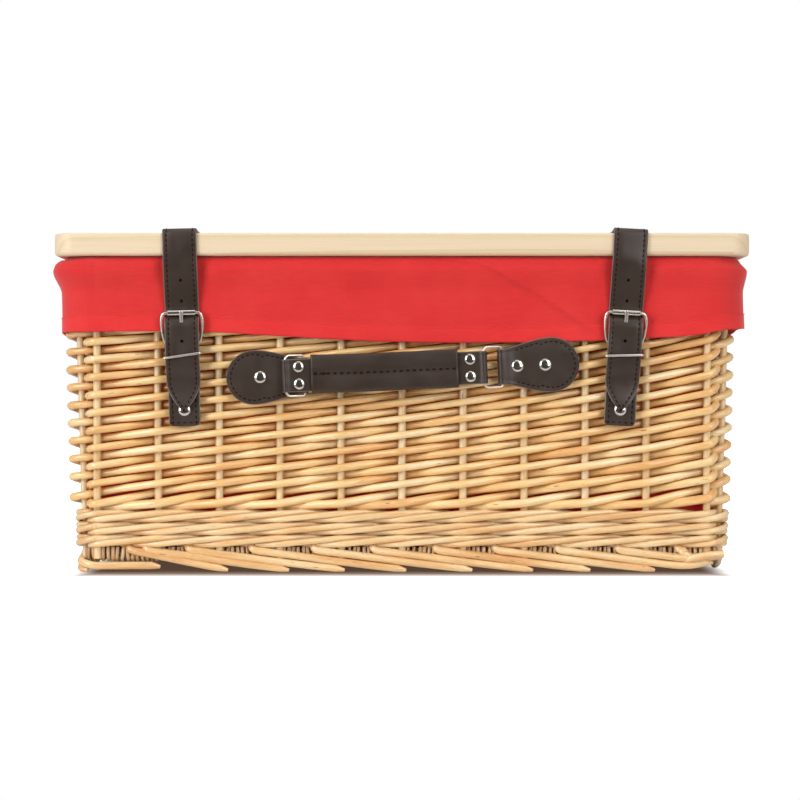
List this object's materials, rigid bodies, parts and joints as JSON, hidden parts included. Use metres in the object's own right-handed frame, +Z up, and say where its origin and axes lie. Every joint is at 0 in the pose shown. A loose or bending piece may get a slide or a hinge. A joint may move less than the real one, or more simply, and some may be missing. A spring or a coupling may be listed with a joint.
{
  "type": "wicker hamper",
  "caption": "Tapered wicker picnic hamper with a flat hinged wooden lid, cloth lining turned over the rim, buckled leather straps and a leather carrying handle.",
  "frame": {"origin": "on the ground under the middle of the hamper", "axes": "+X along the length to the viewer's right, +Z up, and the front with its buckles faces -Y"},
  "size_m": [0.51, 0.3571, 0.2527],
  "materials": {
    "willow": "peeled willow rods with a thin clear varnish",
    "pine": "planed pale pine with a satin clear lacquer",
    "lining_cloth": "plain woven red cotton, matt",
    "dark_leather": "dark brown grained leather, semi-matt",
    "nickel": "polished nickel plate on steel"
  },
  "bodies": {
    "basket": {"base_panel": "willow", "foot_border": "willow", "wale_band": "willow", "front_weave": "willow", "back_weave": "willow", "left_weave": "willow", "right_weave": "willow", "rim_border": "willow", "lining": "lining_cloth", "left_chape": "dark_leather", "left_chape_rivet": "nickel", "left_hinge_tail": "dark_leather", "left_tail_rivet_upper": "nickel", "left_tail_rivet_lower": "nickel", "left_handle_tab": "dark_leather", "left_tab_rivet_inner": "nickel", "left_tab_rivet_outer": "nickel", "right_chape": "dark_leather", "right_chape_rivet": "nickel", "right_hinge_tail": "dark_leather", "right_tail_rivet_upper": "nickel", "right_tail_rivet_lower": "nickel", "right_handle_tab": "dark_leather", "right_tab_rivet_inner": "nickel", "right_tab_rivet_outer": "nickel"},
    "lid": {"lid_board": "pine", "left_lid_strap": "dark_leather", "left_lid_screw_front": "nickel", "left_lid_screw_rear": "nickel", "right_lid_strap": "dark_leather", "right_lid_screw_front": "nickel", "right_lid_screw_rear": "nickel"},
    "left_strap": {"left_strap_drop": "dark_leather"},
    "left_buckle": {"left_buckle_frame": "nickel"},
    "left_roller_tube": {"left_roller": "nickel"},
    "left_prong_pin": {"left_prong": "nickel"},
    "left_keeper_loop": {"left_keeper": "nickel"},
    "left_ring_link": {"left_ring": "nickel"},
    "right_strap": {"right_strap_drop": "dark_leather"},
    "right_buckle": {"right_buckle_frame": "nickel"},
    "right_roller_tube": {"right_roller": "nickel"},
    "right_prong_pin": {"right_prong": "nickel"},
    "right_keeper_loop": {"right_keeper": "nickel"},
    "right_ring_link": {"right_ring": "nickel"},
    "handle": {"handle_strap": "dark_leather", "handle_sleeve": "dark_leather", "left_handle_rivet_upper": "nickel", "left_handle_rivet_lower": "nickel", "right_handle_rivet_upper": "nickel", "right_handle_rivet_lower": "nickel"}
  },
  "joints": [
    {"name": "lid_hinge", "type": "hinge", "parent": "basket", "child": "lid", "pos_m": [0, 0.1775, 0.23185], "axis": [-1, 0, 0], "range_deg": [0, 105]},
    {"name": "left_strap_lift", "type": "hinge", "parent": "lid", "child": "left_strap", "pos_m": [-0.16176, -0.1763, 0.23191], "axis": [0.9997, 0, 0.0244], "range_deg": [0, 75], "deforming": ["left_strap_drop"]},
    {"name": "left_buckle_swing", "type": "hinge", "parent": "basket", "child": "left_buckle", "pos_m": [-0.16021, -0.17089, 0.16822], "axis": [0.9997, 0, 0.0244], "range_deg": [0, 45]},
    {"name": "left_prong_swing", "type": "hinge", "parent": "left_buckle", "child": "left_prong_pin", "pos_m": [-0.16021, -0.17089, 0.16822], "axis": [0.9997, 0, 0.0244], "range_deg": [0, 65]},
    {"name": "left_roller_spin", "type": "hinge", "parent": "left_buckle", "child": "left_roller_tube", "pos_m": [-0.16075, -0.17339, 0.19032], "axis": [0.9997, 0, 0.0244], "continuous": true},
    {"name": "left_keeper_slide", "type": "slide", "parent": "basket", "child": "left_keeper_loop", "axis": [-0.0244, 0, 0.9997], "range_m": [-0.003, 0.002]},
    {"name": "right_strap_lift", "type": "hinge", "parent": "lid", "child": "right_strap", "pos_m": [0.1658, -0.1763, 0.23193], "axis": [0.9984, 0, -0.0558], "range_deg": [0, 75], "deforming": ["right_strap_drop"]},
    {"name": "right_buckle_swing", "type": "hinge", "parent": "basket", "child": "right_buckle", "pos_m": [0.16225, -0.17089, 0.16833], "axis": [0.9984, 0, -0.0558], "range_deg": [0, 45]},
    {"name": "right_prong_swing", "type": "hinge", "parent": "right_buckle", "child": "right_prong_pin", "pos_m": [0.16225, -0.17089, 0.16833], "axis": [0.9984, 0, -0.0558], "range_deg": [0, 65]},
    {"name": "right_roller_spin", "type": "hinge", "parent": "right_buckle", "child": "right_roller_tube", "pos_m": [0.16348, -0.17339, 0.19039], "axis": [0.9984, 0, -0.0558], "continuous": true},
    {"name": "right_keeper_slide", "type": "slide", "parent": "basket", "child": "right_keeper_loop", "axis": [0.0558, 0, 0.9984], "range_m": [-0.003, 0.002]},
    {"name": "left_ring_swing", "type": "hinge", "parent": "basket", "child": "left_ring_link", "pos_m": [-0.07163, -0.16964, 0.14485], "axis": [-0.0436, 0, 0.999], "range_deg": [0, 132]},
    {"name": "handle_swing", "type": "hinge", "parent": "left_ring_link", "child": "handle", "pos_m": [-0.08486, -0.17554, 0.14427], "axis": [-0.0436, 0, 0.999], "range_deg": [-132, 0]},
    {"name": "right_ring_swing", "type": "hinge", "parent": "basket", "child": "right_ring_link", "pos_m": [0.07273, -0.16964, 0.15115], "axis": [-0.0436, 0, 0.999], "range_deg": [0, 132]}
  ],
  "couplings": [
    {"joint": "left_strap_lift", "follows": "lid_hinge", "ratio": 0.7},
    {"joint": "right_strap_lift", "follows": "lid_hinge", "ratio": 0.7},
    {"joint": "left_ring_swing", "follows": "handle_swing", "ratio": -1},
    {"joint": "right_ring_swing", "follows": "handle_swing", "ratio": -1}
  ]
}
